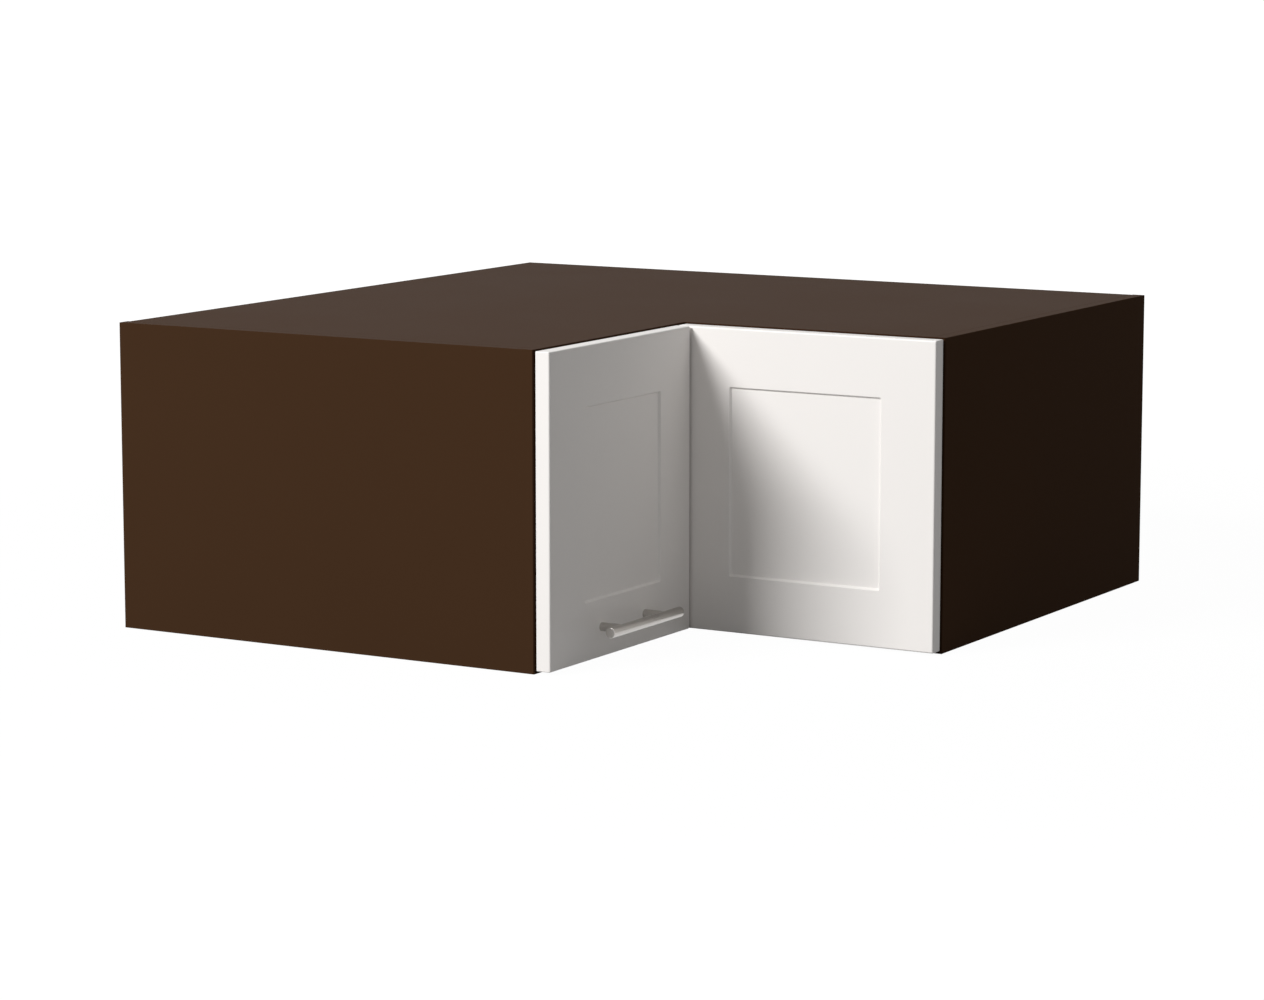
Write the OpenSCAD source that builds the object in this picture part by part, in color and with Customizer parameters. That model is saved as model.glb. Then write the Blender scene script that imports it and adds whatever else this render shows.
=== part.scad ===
/* [Cabinet] */
// Length along the left wall, from the room corner to the left end
run_left = 900; // [850:5:1100]
// Length along the right wall, from the room corner to the right end
run_right = 900; // [850:5:1100]
// Height of the carcass
height = 360; // [330:5:720]
// Depth of the left side panel
depth_left = 565; // [480:5:620]
// Depth of the right side panel
depth_right = 565; // [480:5:620]

/* [Boards] */
// Thickness of the carcass boards
board_t = 16; // [15:1:18]
// Thickness of the fibreboard backs
back_t = 3; // [2.5:0.5:4]
// How far the backs stop short of the top and bottom faces
back_drop = 2; // [1:0.5:4]
// Thickness of the edge band on the front edges
band_t = 1; // [0.5:0.5:2]
// Side of the square post in the rear corner
post_w = 32; // [28:2:50]

/* [Carcass fittings] */
// Diameter of a cam
cam_d = 15; // [12:1:16]
// Depth of a cam
cam_depth = 12; // [11:0.5:13]
// Distance of a cam's centre from the side panel
cam_set = 34; // [24:1:40]
// Diameter of a cam bolt's shank
bolt_d = 6; // [5:0.5:7]
// Diameter of a cam bolt's screw thread
bolt_thread_d = 5; // [4:0.5:6]
// Length of a cam bolt's screw thread
bolt_thread = 11; // [8:1:12]
// Diameter of a dowel
dowel_d = 8; // [6:1:8]
// Length of a dowel
dowel_len = 30; // [24:1:36]
// Distance of a cam from a board's front or rear edge
cam_edge = 60; // [50:5:100]
// Distance from a cam to the dowel beside it
dowel_step = 32; // [25:1:64]
// Diameter of a back nail
nail_d = 1.4; // [1.2:0.1:2]
// Length of a back nail
nail_len = 18; // [14:1:25]
// Diameter of a nail's head
nail_head_d = 3; // [2.6:0.2:4]
// Nails along each edge of a back
nail_count = 6; // [3:1:8]

/* [Hangers] */
// Width of a hanger's housing, across the side panel
hanger_t = 18; // [14:1:24]
// Height of a hanger's housing
hanger_h = 58; // [48:1:70]
// Depth of a hanger's housing, from the back
hanger_l = 60; // [50:1:80]
// Gap between a housing and the top panel
hanger_drop = 4; // [1:1:20]
// Thickness of a hook
hook_t = 2.5; // [2:0.5:4]
// Height of a hook
hook_h = 24; // [18:1:30]
// Diameter of the screws that wind a hook out and up
adjuster_d = 7; // [5:1:8]

/* [Doors] */
// Thickness of a door
door_t = 18; // [16:1:22]
// Gap between the carcass and the back of a closed door
door_gap = 2; // [1.5:0.5:3]
// How far a door stops short of the carcass's outer faces and top
reveal = 1.5; // [1:0.5:3]
// How far a door stops short of the carcass's underside
reveal_low = 3.5; // [1:0.5:6]
// Gap between the left door's end and the right door's front
leaf_gap = 3; // [2:0.5:5]
// Radius of a door's front edges
edge_r = 2; // [1:0.5:3]
// Width of the flat frame beside and above a door's milled panel
frame_w = 68; // [55:1:85]
// Width of the flat frame below a door's milled panel
low_frame_w = 66; // [55:1:85]
// Width of the left door's frame beside the left side panel
hinge_frame_w = 74; // [55:1:90]
// Depth of the milled panel
mill_depth = 3; // [1.5:0.5:5]
// Width of the slope round the milled panel
mill_slope = 2; // [1:0.5:10]
// Diameter of a door bumper
bumper_d = 9; // [7:1:11]

/* [Handle] */
// Diameter of the handle's bar
bar_d = 12; // [11:1:14]
// Length of the handle's bar
bar_len = 156; // [130:2:200]
// Distance between the handle's posts
post_pitch = 96; // [64:32:96]
// Diameter of a handle post
post_d = 10; // [8:1:10]
// Distance from the door's front to the bar's axis
bar_out = 29; // [26:0.5:40]
// Height of the bar's axis above the door's lower edge
handle_up = 34.5; // [30:0.5:50]
// Diameter of a handle screw
handle_screw_d = 4; // [3:0.5:5]

/* [Cabinet hinges] */
// Distance of a hinge from the top or bottom of the carcass
hinge_inset = 80; // [70:5:120]
// Diameter of a hinge cup
cup_d = 35; // [35:1:40]
// Depth of a hinge cup
cup_depth = 11.5; // [11:0.5:13]
// Wood left between a door's edge and the cup
cup_tab = 5; // [4:0.5:6]
// Diameter of the hinge pins
pin_d = 3; // [2.5:0.5:3.5]
// Width of a hinge link
link_w = 6.6; // [6:0.2:7]
// Thickness of the hinge steel
steel_t = 1.5; // [1.2:0.1:2]
// Width of the middle link
link_h = 10; // [8:1:12]
// Length of a hinge arm behind its pivot
arm_l = 54; // [50:1:60]

/* [Folding hinges] */
// How far the folding pivot lies behind the door backs
fold_back = 5; // [4.5:0.5:7]
// Diameter of the folding hinge's knuckle
knuckle_d = 7.4; // [7:0.2:8]
// Diameter of the folding hinge's pin
fold_pin_d = 4; // [3:0.5:4.5]
// Width of the folding hinge's arm
fold_arm_h = 12; // [10:1:16]
// Length of the folding hinge's plate
fold_plate_l = 50; // [40:2:70]

/* [Hidden] */
$fn = 48;

// Overshoot of a cut past the face it opens
cut = 1;
// Gap round a pin that turns in its hole
running = 0.05;
// Gap between steel pieces that slide past each other
side_gap = 0.3;
// Gap round a piece that sits loose in a pocket
loose = 0.25;

// The plan: the room corner is at the rear left, the left wing runs to the front
// and the right wing to the right. The doors close the inner corner between them.
x_wall = -run_right / 2;
x_end = run_right / 2;
y_wall = run_left / 2;
y_end = -run_left / 2;
x_front = x_wall + depth_left;
y_front = y_wall - depth_right;
x_in = x_wall + back_t;
y_in = y_wall - back_t;
y_panel = y_end + board_t;
x_panel = x_end - board_t;

// The closed doors
left_x0 = x_front + door_gap;
left_x1 = left_x0 + door_t;
right_y1 = y_front - door_gap;
right_y0 = right_y1 - door_t;
left_y0 = y_end + reveal;
left_y1 = right_y0 - leaf_gap;
right_x0 = x_front + door_gap;
right_x1 = x_end - reveal;
door_z0 = reveal_low;
door_z1 = height - reveal;

// Places along the joints between boards: a cam and a dowel near each end
function ends(low, high) = [low + cam_edge, high - cam_edge];
function inner_ends(low, high) = [low + cam_edge + dowel_step, high - cam_edge - dowel_step];
function spread(low, high, count, margin) =
    [for (i = [0:count - 1]) low + margin + (high - low - 2 * margin) * i / (count - 1)];

post_dowel_x = x_in + post_w / 2;
post_dowel_y = y_in - post_w / 2;

// The cabinet hinges. Their own frame has its origin at the left side panel's outer
// front corner, with X out of the cabinet, Y along the opening and Z up.
hinge_levels = [hinge_inset, height - hinge_inset];
fold_levels = [hinge_inset, height - hinge_inset];
cup_y = reveal + cup_tab + cup_d / 2;
// The axis that the door swings about, and the pivots of the two links
swing = [door_gap + 8.25, reveal + 5.25];
pivot_arm = [-4.5, board_t + 5];
pivot_cup = [door_gap + 3.5, cup_y];
elbow = pivot_arm + pivot_cup - swing;
link_gap_h = link_h + 2 * side_gap;
outer_h = link_gap_h + 2 * steel_t;
arm_gap_h = outer_h + 2 * side_gap;
arm_h = arm_gap_h + 2 * steel_t;
eye_r = link_w / 2;
link_waist = 0.5;
pin_r = pin_d / 2;
cup_wall = 1.2;
wing_t = 1;
wing_l = 62;
wing_w = 20;
wing_hole = 24;
cup_screw_d = 3.5;
cup_screw_l = 13;
plate_t = 3;
plate_l = 24;
plate_h = 52;
plate_back = 37;
plate_hole = 16;
plate_screw_d = 5;
plate_screw_l = 14;
screw_head_t = 2;
block_t = 8.5;
block_h = arm_gap_h - 2 * side_gap;
block_behind = 8;
block_ahead = 6;
arm_screw_d = 4;
arm_screw_l = 6;
// The arm's cheeks reach past its web to the pivot
cheek_l = 12;
web_set = 10;
web_y = board_t + block_t;

// The folding hinges: a pin behind the inner corner joins the right door to the left
fold_axis = [left_x0 - fold_back, right_y1 + fold_back];
knuckle_r = knuckle_d / 2;
fold_pin_r = fold_pin_d / 2;
fold_cup_x = right_x0 + cup_tab + cup_d / 2;
fold_plate_t = 3;
fold_plate_h = 44;
fold_ear_t = 3.2;
fold_ear_in = fold_arm_h / 2 + side_gap;
fold_ear_out = fold_ear_in + fold_ear_t;
fold_depth = 10.5;
fold_wing_t = fold_back - knuckle_r;
fold_plate_set = 8;
fold_plate_y1 = left_y1 - fold_plate_set;
fold_plate_y0 = fold_plate_y1 - fold_plate_l;
fold_arm_set = 4;
fold_screw_d = 3.5;
fold_screw_l = 14;
fold_screw_near = 14;
fold_screw_far = 8;
fold_screw_up = 14;
fold_screw_head = 1.6;
fold_screw_ys = [fold_plate_y0 + fold_screw_far, fold_plate_y1 - fold_screw_near];

// The handle, centred under the left door's milled panel
handle_y = (left_y0 + hinge_frame_w + left_y1 - frame_w) / 2;
handle_z = door_z0 + handle_up;
post_spots = [handle_y - post_pitch / 2, handle_y + post_pitch / 2];
screw_bite = 9;

// The bumpers, on the right door where it meets the right side panel
bumper_t = door_gap - side_gap;
bumper_x = x_end - board_t / 2;
bumper_up = 12;

// The hangers, in the upper rear corners beside the side panels
hanger_z1 = height - board_t - hanger_drop;
hanger_z0 = hanger_z1 - hanger_h;
hook_drop = 10;
hook_z1 = hanger_z1 - hook_drop;
hook_z0 = hook_z1 - hook_h;
hook_l = 30;
hook_nose = 2;
hook_throat = 4;
hook_lip = 10;
window_h = hook_h + 8;
window_t = hook_t + 6;
window_z0 = hook_z0 - (window_h - hook_h) / 2;
hanger_screw_d = 4;
hanger_screw_l = 12;
hanger_screw_head = 2;
hanger_screw_set = 10;
hanger_wall = 2;
hanger_screw_spots = [for (z = [hanger_z0 + hanger_screw_set, hanger_z1 - hanger_screw_set])
    [back_t + hanger_l - hanger_screw_set, z]];

module box_from(low, high) {
    translate(low)
        cube(high - low);
}

// A disc and a bar's round end come from cylinders, so that bores stay true
module rod_x(r, x0, x1) {
    translate([x0, 0, 0])
        rotate([0, 90, 0])
            cylinder(r = r, h = x1 - x0);
}

module rod_y(r, y0, y1) {
    translate([0, y0, 0])
        rotate([-90, 0, 0])
            cylinder(r = r, h = y1 - y0);
}

module rod_z(r, z0, z1) {
    translate([0, 0, z0])
        cylinder(r = r, h = z1 - z0);
}

module at(point) {
    translate([point[0], point[1], 0])
        children();
}

// A flat bar between two eyes in plan. It starts and ends within their rims, clear of
// their bores.
module link_bar(from, to, r, z0, z1) {
    run = to - from;
    half = r - link_waist;
    rim = (r + pin_r + running) / 2;
    at(from)
        rotate([0, 0, atan2(run[1], run[0])])
            box_from([rim, -half, z0], [norm(run) - rim, half, z1]);
}

// Each end joint's frame: X runs into the top or bottom board from the side panel's
// inner face, Z points from the board's middle to the inside of the cabinet.
module on_left_joints(places) {
    for (x = places) {
        translate([x, y_panel, board_t / 2])
            rotate([0, 0, 90])
                children();
        translate([x, y_panel, height - board_t / 2])
            mirror([0, 0, 1])
                rotate([0, 0, 90])
                    children();
    }
}

module on_right_joints(places) {
    for (y = places) {
        translate([x_panel, y, board_t / 2])
            rotate([0, 0, 180])
                children();
        translate([x_panel, y, height - board_t / 2])
            mirror([0, 0, 1])
                rotate([0, 0, 180])
                    children();
    }
}

module on_cam_joints() {
    on_left_joints(ends(x_in, x_front))
        children();
    on_right_joints(ends(y_front, y_in))
        children();
}

module on_dowel_joints() {
    on_left_joints(inner_ends(x_in, x_front))
        children();
    on_right_joints(inner_ends(y_front, y_in))
        children();
}

module cam_bores() {
    bolt_room = bolt_d / 2 + 1;
    translate([cam_set, 0, 0])
        rod_z(cam_d / 2, board_t / 2 - cam_depth, board_t / 2 + cut);
    rod_x(bolt_room, 0, cam_set);
    rod_x(bolt_thread_d / 2, -bolt_thread, cut);
}

module dowel_bore() {
    rod_x(dowel_d / 2, -dowel_len / 3, dowel_len * 2 / 3);
}

module post_dowels() {
    for (z = [board_t, height - board_t])
        translate([post_dowel_x, post_dowel_y, z])
            rod_z(dowel_d / 2, -dowel_len / 3, dowel_len / 3);
}

// Each nail's frame: X points out of the back, with its origin on the outer face
module on_nails() {
    for (z = [board_t / 2, height - board_t / 2]) {
        for (y = spread(y_panel, y_in, nail_count, cam_edge))
            translate([x_wall, y, z])
                rotate([0, 0, 180])
                    children();
        for (x = spread(x_in, x_panel, nail_count, cam_edge))
            translate([x, y_wall, z])
                rotate([0, 0, 90])
                    children();
    }
    for (z = [height / 3, height * 2 / 3]) {
        translate([x_wall, post_dowel_y - dowel_d, z])
            rotate([0, 0, 180])
                children();
        translate([post_dowel_x + dowel_d, y_wall, z])
            rotate([0, 0, 90])
                children();
    }
}

module nail() {
    head = nail_head_d / 4;
    rod_x(nail_d / 2, -nail_len, 0);
    rod_x(nail_head_d / 2, -head, 0);
}

// Each hanger's frame: X runs from the back into the cabinet, Y from the side panel
// into the cabinet, with its origin where the back's outer face meets the panel.
module on_hangers() {
    translate([x_wall, y_panel, 0])
        children();
    translate([x_panel, y_wall, 0])
        rotate([0, 0, -90])
            mirror([0, 1, 0])
                children();
}

module hanger_window() {
    middle = hanger_t / 2;
    box_from([-cut, middle - window_t / 2, window_z0],
        [back_t + cut, middle + window_t / 2, window_z0 + window_h]);
}

module hanger_screw_bores() {
    for (spot = hanger_screw_spots)
        translate([spot[0], 0, spot[1]])
            rod_y(hanger_screw_d / 2, -hanger_screw_l + hanger_wall, hanger_t + cut);
}

// Two screws in each housing's front face, between the screws that hold it
adjuster_l = 14;
adjuster_up = 8;

module hanger_adjuster_bores() {
    for (up = [-adjuster_up, adjuster_up])
        translate([0, hanger_t / 2, (hanger_z0 + hanger_z1) / 2 + up])
            rod_x(adjuster_d / 2, back_t + hanger_l - adjuster_l, back_t + hanger_l);
}

module on_cabinet_hinges() {
    for (z = hinge_levels)
        translate([x_front, y_end, z])
            children();
}

module plate_screw_bores() {
    for (z = [-plate_hole, plate_hole])
        translate([-plate_back, board_t + plate_t, z])
            rod_y(plate_screw_d / 2, -plate_screw_l, screw_head_t + cut);
}

module left_side_panel() {
    color([0.25, 0.18, 0.13])
        difference() {
            box_from([x_wall, y_end, 0], [x_front - band_t, y_panel, height]);
            on_cam_joints()
                cam_bores();
            on_dowel_joints()
                dowel_bore();
            on_cabinet_hinges()
                plate_screw_bores();
            on_hangers()
                hanger_screw_bores();
        }
}

module right_side_panel() {
    color([0.25, 0.18, 0.13])
        difference() {
            box_from([x_panel, y_front + band_t, 0], [x_end, y_wall, height]);
            on_cam_joints()
                cam_bores();
            on_dowel_joints()
                dowel_bore();
            on_hangers()
                hanger_screw_bores();
        }
}

// The L-shaped outline of the top and bottom boards
module l_board(z0) {
    xf = x_front - band_t;
    yf = y_front + band_t;
    difference() {
        translate([0, 0, z0])
            linear_extrude(board_t)
                polygon([[x_in, y_panel], [xf, y_panel], [xf, yf], [x_panel, yf],
                    [x_panel, y_in], [x_in, y_in]]);
        on_cam_joints()
            cam_bores();
        on_dowel_joints()
            dowel_bore();
        post_dowels();
        on_nails()
            nail();
    }
}

module top_panel() {
    color([0.28, 0.23, 0.2])
        l_board(height - board_t);
}

module bottom_panel() {
    color([0.28, 0.23, 0.2])
        l_board(0);
}

module left_back_panel() {
    color([0.45, 0.36, 0.27])
        difference() {
            box_from([x_wall, y_panel, back_drop], [x_in, y_wall, height - back_drop]);
            on_nails()
                nail();
            on_hangers()
                hanger_window();
        }
}

module right_back_panel() {
    color([0.45, 0.36, 0.27])
        difference() {
            box_from([x_in, y_in, back_drop], [x_panel, y_wall, height - back_drop]);
            on_nails()
                nail();
            on_hangers()
                hanger_window();
        }
}

module corner_post() {
    color([0.62, 0.5, 0.36])
        difference() {
            box_from([x_in, y_in - post_w, board_t], [x_in + post_w, y_in, height - board_t]);
            post_dowels();
            on_nails()
                nail();
        }
}

module side_edge_bands() {
    color([0.16, 0.11, 0.08]) {
        box_from([x_front - band_t, y_end, 0], [x_front, y_panel, height]);
        box_from([x_panel, y_front, 0], [x_end, y_front + band_t, height]);
    }
}

module left_edge_bands() {
    color([0.16, 0.11, 0.08])
        for (z0 = [0, height - board_t])
            box_from([x_front - band_t, y_panel, z0], [x_front, y_front + band_t, z0 + board_t]);
}

module right_edge_bands() {
    color([0.16, 0.11, 0.08])
        for (z0 = [0, height - board_t])
            box_from([x_front, y_front, z0], [x_panel, y_front + band_t, z0 + board_t]);
}

// A cam grips the bolt's head through a slot, and is turned by the cross in its face
module cam_locks() {
    head_room = bolt_d / 2 + loose;
    cross_w = 1.2;
    cross_l = cam_d * 0.5;
    cross_t = 2.5;
    color([0.66, 0.66, 0.65])
        on_cam_joints()
            translate([cam_set, 0, 0])
                difference() {
                    rod_z(cam_d / 2, board_t / 2 - cam_depth, board_t / 2);
                    rod_x(head_room, -cam_d, 0);
                    sphere(r = head_room);
                    for (turn = [0, 90])
                        rotate([0, 0, turn])
                            box_from([-cross_l / 2, -cross_w / 2, board_t / 2 - cross_t],
                                [cross_l / 2, cross_w / 2, board_t / 2 + cut]);
                }
}

module cam_bolts() {
    neck_r = bolt_d / 3;
    head_l = 2;
    color([0.7, 0.7, 0.7])
        on_cam_joints() {
            rod_x(bolt_thread_d / 2, -bolt_thread, 0);
            rod_x(bolt_d / 2, 0, cam_set - cam_d / 2 - loose);
            rod_x(neck_r, 0, cam_set - head_l / 2);
            translate([cam_set, 0, 0])
                rod_x(bolt_d / 2, -head_l, 0);
        }
}

module dowels() {
    color([0.78, 0.65, 0.45]) {
        on_dowel_joints()
            dowel_bore();
        post_dowels();
    }
}

module back_nails() {
    color([0.7, 0.7, 0.7])
        on_nails()
            nail();
}

// A plastic box holds the steel hook that hangs the cabinet on its wall rail
module hanger_housings() {
    middle = hanger_t / 2;
    slot = hook_t / 2 + loose;
    color([0.85, 0.85, 0.83])
        on_hangers()
            difference() {
                box_from([back_t, 0, hanger_z0], [back_t + hanger_l, hanger_t, hanger_z1]);
                box_from([back_t - cut, middle - slot, hook_z0 - loose],
                    [hook_l + loose, middle + slot, hook_z1 + loose]);
                hanger_screw_bores();
                hanger_adjuster_bores();
                for (spot = hanger_screw_spots)
                    translate([spot[0], 0, spot[1]])
                        rod_y(hanger_screw_d, hanger_wall, hanger_t + cut);
            }
}

module hanger_hooks() {
    middle = hanger_t / 2;
    color([0.72, 0.73, 0.74])
        on_hangers()
            difference() {
                box_from([0, middle - hook_t / 2, hook_z0], [hook_l, middle + hook_t / 2, hook_z1]);
                box_from([hook_nose, 0, hook_z0 - cut],
                    [hook_nose + hook_throat, hanger_t, hook_z1 - hook_lip]);
            }
}

module hanger_screws() {
    color([0.7, 0.7, 0.7])
        on_hangers()
            for (spot = hanger_screw_spots)
                translate([spot[0], 0, spot[1]]) {
                    rod_y(hanger_screw_d / 2, -hanger_screw_l + hanger_wall, hanger_wall);
                    rod_y(hanger_screw_d - loose, hanger_wall, hanger_wall + hanger_screw_head);
                }
}

// Each adjuster has a crossed slot in its outer end
module hanger_adjusters() {
    slot_w = 1.2;
    slot_deep = 2;
    face = back_t + hanger_l;
    reach = adjuster_d * 0.35;
    color([0.7, 0.7, 0.7])
        on_hangers()
            difference() {
                hanger_adjuster_bores();
                for (up = [-adjuster_up, adjuster_up])
                    translate([0, hanger_t / 2, (hanger_z0 + hanger_z1) / 2 + up])
                        for (turn = [0, 90])
                            rotate([turn, 0, 0])
                                box_from([face - slot_deep, -reach, -slot_w / 2],
                                    [face + cut, reach, slot_w / 2]);
            }
}

module hinge_plates() {
    low = -plate_back - plate_l / 2;
    color([0.72, 0.73, 0.74])
        on_cabinet_hinges()
            difference() {
                union() {
                    box_from([low, board_t, -plate_h / 2],
                        [low + plate_l, board_t + plate_t, plate_h / 2]);
                    box_from([low - block_behind, board_t, -block_h / 2],
                        [low + plate_l + block_ahead, web_y, block_h / 2]);
                }
                plate_screw_bores();
                arm_screw_bore();
            }
}

module hinge_plate_screws() {
    color([0.8, 0.8, 0.8])
        on_cabinet_hinges()
            for (z = [-plate_hole, plate_hole])
                translate([-plate_back, board_t + plate_t, z]) {
                    rod_y(plate_screw_d / 2, -plate_screw_l, 0);
                    rod_y(plate_screw_d * 0.85, 0, screw_head_t);
                }
}

module arm_screw_bore() {
    translate([-plate_back, web_y, 0])
        rod_y(arm_screw_d / 2, -arm_screw_l, steel_t + cut);
}

// The arm is a channel over the plate's block, open at the front for the links
module hinge_arms() {
    boss_r = eye_r + 0.5;
    front = pivot_arm[0];
    low = board_t + 1;
    back = front - arm_l;
    top = web_y + steel_t;
    color([0.72, 0.73, 0.74])
        on_cabinet_hinges()
            difference() {
                union() {
                    for (side = [-1, 1])
                        translate([0, 0, side * (arm_gap_h + steel_t) / 2]) {
                            box_from([back, board_t + plate_t + side_gap, -steel_t / 2],
                                [front - web_set, top, steel_t / 2]);
                            box_from([front - cheek_l, low, -steel_t / 2],
                                [front, pivot_arm[1] + boss_r, steel_t / 2]);
                            at(pivot_arm)
                                rod_z(boss_r, -steel_t / 2, steel_t / 2);
                        }
                    box_from([back, web_y, -arm_h / 2], [front - cheek_l, top, arm_h / 2]);
                }
                at(pivot_arm)
                    rod_z(pin_r, -arm_h, arm_h);
                arm_screw_bore();
            }
}

module hinge_arm_screws() {
    color([0.8, 0.8, 0.8])
        on_cabinet_hinges()
            translate([-plate_back, web_y, 0]) {
                rod_y(arm_screw_d / 2, -arm_screw_l, steel_t);
                rod_y(arm_screw_d * 0.9, steel_t, steel_t + screw_head_t);
            }
}

module hinge_arm_pins() {
    color([0.6, 0.6, 0.62])
        on_cabinet_hinges()
            at(pivot_arm)
                rod_z(pin_r, -arm_h / 2, arm_h / 2);
}

// Two cheeks joined by a barrel, which turns on the arm's pin
module hinge_outer_links() {
    color([0.66, 0.67, 0.69])
        on_cabinet_hinges()
            difference() {
                union() {
                    for (z0 = [-outer_h / 2, link_gap_h / 2]) {
                        link_bar(pivot_arm, elbow, eye_r, z0, z0 + steel_t);
                        at(elbow)
                            rod_z(eye_r, z0, z0 + steel_t);
                    }
                    at(pivot_arm)
                        rod_z(eye_r, -outer_h / 2, outer_h / 2);
                }
                at(pivot_arm)
                    rod_z(pin_r + running, -outer_h, outer_h);
                at(elbow)
                    rod_z(pin_r, -outer_h, outer_h);
            }
}

module hinge_elbow_pins() {
    color([0.6, 0.6, 0.62])
        on_cabinet_hinges()
            at(elbow)
                rod_z(pin_r, -outer_h / 2, outer_h / 2);
}

module hinge_inner_links() {
    color([0.66, 0.67, 0.69])
        on_cabinet_hinges()
            difference() {
                union() {
                    link_bar(elbow, pivot_cup, eye_r, -link_h / 2, link_h / 2);
                    for (pivot = [elbow, pivot_cup])
                        at(pivot)
                            rod_z(eye_r, -link_h / 2, link_h / 2);
                }
                at(elbow)
                    rod_z(pin_r + running, -link_h, link_h);
                at(pivot_cup)
                    rod_z(pin_r + running * 2, -link_h, link_h);
            }
}

// The cup's frame: X points into the door from its back face, Y and Z lie along it
module cup_wings(t) {
    box_from([-t, -wing_w / 2, -wing_l / 2], [0, wing_w / 2, wing_l / 2]);
}

module wing_screw_bores(t, length) {
    for (z = [-wing_hole, wing_hole])
        translate([0, 0, z])
            rod_x(cup_screw_d / 2, -t - cut, length);
}

module wing_screws(t, length) {
    for (z = [-wing_hole, wing_hole])
        translate([0, 0, z]) {
            rod_x(cup_screw_d / 2, -t, length);
            rod_x(cup_screw_d, -t - wing_t, -t);
        }
}

module on_cups() {
    on_cabinet_hinges()
        translate([door_gap, cup_y, 0])
            children();
}

module hinge_cups() {
    color([0.74, 0.75, 0.76])
        difference() {
            on_cups() {
                rod_x(cup_d / 2, 0, cup_depth);
                cup_wings(wing_t);
            }
            on_cups() {
                rod_x(cup_d / 2 - cup_wall, -wing_t - cut, cup_depth - cup_wall);
                wing_screw_bores(wing_t, cup_screw_l);
            }
            on_cabinet_hinges()
                at(pivot_cup)
                    rod_z(pin_r, -cup_d, cup_d);
        }
}

module hinge_cup_pins() {
    half = cup_d / 2 - cup_wall / 3;
    color([0.6, 0.6, 0.62])
        on_cabinet_hinges()
            at(pivot_cup)
                rod_z(pin_r, -half, half);
}

module hinge_cup_screws() {
    color([0.8, 0.8, 0.8])
        on_cups()
            wing_screws(wing_t, cup_screw_l);
}

// A door's outline across its thickness, square at the back and round at the front
module leaf_section(width) {
    r = edge_r;
    square([door_t - r, width]);
    translate([0, r])
        square([door_t, width - 2 * r]);
    for (y = [r, width - r])
        translate([door_t - r, y])
            circle(r = r);
}

// The milled panel is a flat floor with a slope on all four sides
module milling(y0, y1, z0, z1) {
    s = mill_slope;
    floor_x = door_t - mill_depth;
    reach = (mill_depth + cut) * s / mill_depth;
    intersection() {
        translate([0, 0, z0 - reach])
            linear_extrude(z1 - z0 + 2 * reach)
                polygon([[floor_x, y0 + s], [door_t + cut, y0 + s - reach],
                    [door_t + cut, y1 - s + reach], [floor_x, y1 - s]]);
        translate([0, y1 + reach, 0])
            rotate([90, 0, 0])
                linear_extrude(y1 - y0 + 2 * reach)
                    polygon([[floor_x, z0 + s], [door_t + cut, z0 + s - reach],
                        [door_t + cut, z1 - s + reach], [floor_x, z1 - s]]);
    }
}

// A door in its own frame: X from its back to its front, Y along its width, Z up
module door_solid(width, first_frame_w) {
    tall = door_z1 - door_z0;
    difference() {
        intersection() {
            linear_extrude(tall)
                leaf_section(width);
            translate([0, width, 0])
                rotate([90, 0, 0])
                    linear_extrude(width)
                        leaf_section(tall);
        }
        milling(first_frame_w, width - frame_w, low_frame_w, tall - frame_w);
    }
}

module left_door() {
    color([0.93, 0.92, 0.91])
        difference() {
            translate([left_x0, left_y0, door_z0])
                door_solid(left_y1 - left_y0, hinge_frame_w);
            on_cups() {
                rod_x(cup_d / 2, -cut, cup_depth);
                wing_screw_bores(wing_t, cup_screw_l);
            }
            for (y = post_spots)
                translate([left_x0, y, handle_z])
                    rod_x(handle_screw_d / 2 + loose, -cut, door_t + cut);
            fold_arm_screw_bores();
        }
}

// The handle: a round bar on two posts, held by screws from behind the door
module handle_bar() {
    color([0.75, 0.74, 0.72])
        translate([left_x1 + bar_out, 0, handle_z])
            rod_y(bar_d / 2, handle_y - bar_len / 2, handle_y + bar_len / 2);
}

module handle_posts() {
    color([0.72, 0.71, 0.69])
        difference() {
            for (y = post_spots)
                translate([left_x1, y, handle_z])
                    rod_x(post_d / 2, 0, bar_out);
            translate([left_x1 + bar_out, 0, handle_z])
                rod_y(bar_d / 2, handle_y - bar_len, handle_y + bar_len);
            for (y = post_spots)
                translate([left_x1, y, handle_z])
                    rod_x(handle_screw_d / 2, -cut, screw_bite);
        }
}

module handle_screws() {
    head_t = 2.4;
    color([0.8, 0.8, 0.8])
        for (y = post_spots)
            translate([left_x0, y, handle_z]) {
                rod_x(handle_screw_d / 2, 0, door_t + screw_bite);
                rod_x(handle_screw_d * 1.1, -head_t, 0);
            }
}

module on_fold_hinges() {
    for (z = fold_levels)
        translate([0, 0, z])
            children();
}

module fold_arm_screw_bores() {
    on_fold_hinges()
        for (y = fold_screw_ys)
            for (z = [-fold_screw_up, fold_screw_up])
                translate([left_x0, y, z])
                    rod_x(fold_screw_d / 2, -fold_plate_t - cut, fold_screw_l);
}

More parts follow.
